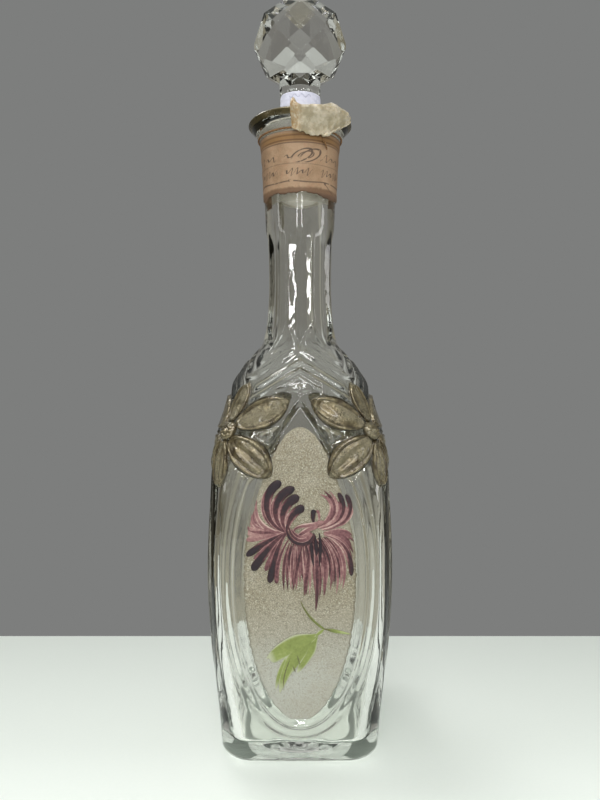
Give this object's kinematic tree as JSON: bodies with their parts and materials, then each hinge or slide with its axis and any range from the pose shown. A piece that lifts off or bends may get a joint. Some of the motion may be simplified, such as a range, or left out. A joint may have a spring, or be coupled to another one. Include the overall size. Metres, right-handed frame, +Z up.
{
  "type": "glass bottle",
  "caption": "Tall square-bodied glass bottle with fluted neck, gilt corner flowers, a sanded painted medallion and a cut ball stopper that lifts out.",
  "frame": {"origin": "middle of the foot, on the surface the bottle stands on", "axes": "+Z up along the bottle, -Y out of the decorated face, +X to the right of someone facing it"},
  "size_m": [0.0686, 0.0686, 0.2893],
  "materials": {
    "clear_glass": "clear moulded glass, faintly grey-green, wavy and glossy",
    "tarnished_gilt": "worn liquid gilding on moulded glass relief, brown-bronze with pale worn ridges",
    "sanded_ground": "fine warm grey-beige grit fused to the glass, matt and sandy",
    "plum_enamel": "raised hand-painted enamel, plum shading to dusty pink, satin",
    "green_enamel": "thin hand-painted olive green enamel, satin",
    "stopper_glass": "clear cut glass, polished facets, shank ground matt",
    "label_paper": "aged tan paper with printed brown border bands",
    "twine": "thin dark brown twisted thread",
    "dried_seal": "dried translucent yellow-beige sealing skin, crumpled",
    "sticker_paper": "smooth white paper sticker"
  },
  "bodies": {
    "bottle": {"bottle_glass": "clear_glass", "gilt_flower_front_right": "tarnished_gilt", "gilt_flower_back_right": "tarnished_gilt", "gilt_flower_back_left": "tarnished_gilt", "gilt_flower_front_left": "tarnished_gilt", "sanded_medallion": "sanded_ground", "enamel_bloom": "plum_enamel", "enamel_stem": "green_enamel", "enamel_leaf": "green_enamel", "neck_label": "label_paper", "binding_thread": "twine", "seal_remnant": "dried_seal"},
    "stopper": {"stopper_glass": "stopper_glass", "stock_sticker": "sticker_paper"}
  },
  "joints": [
    {"name": "stopper_lift", "type": "slide", "parent": "bottle", "child": "stopper", "axis": [0, 0, 1], "range_m": [0, 0.06]}
  ]
}
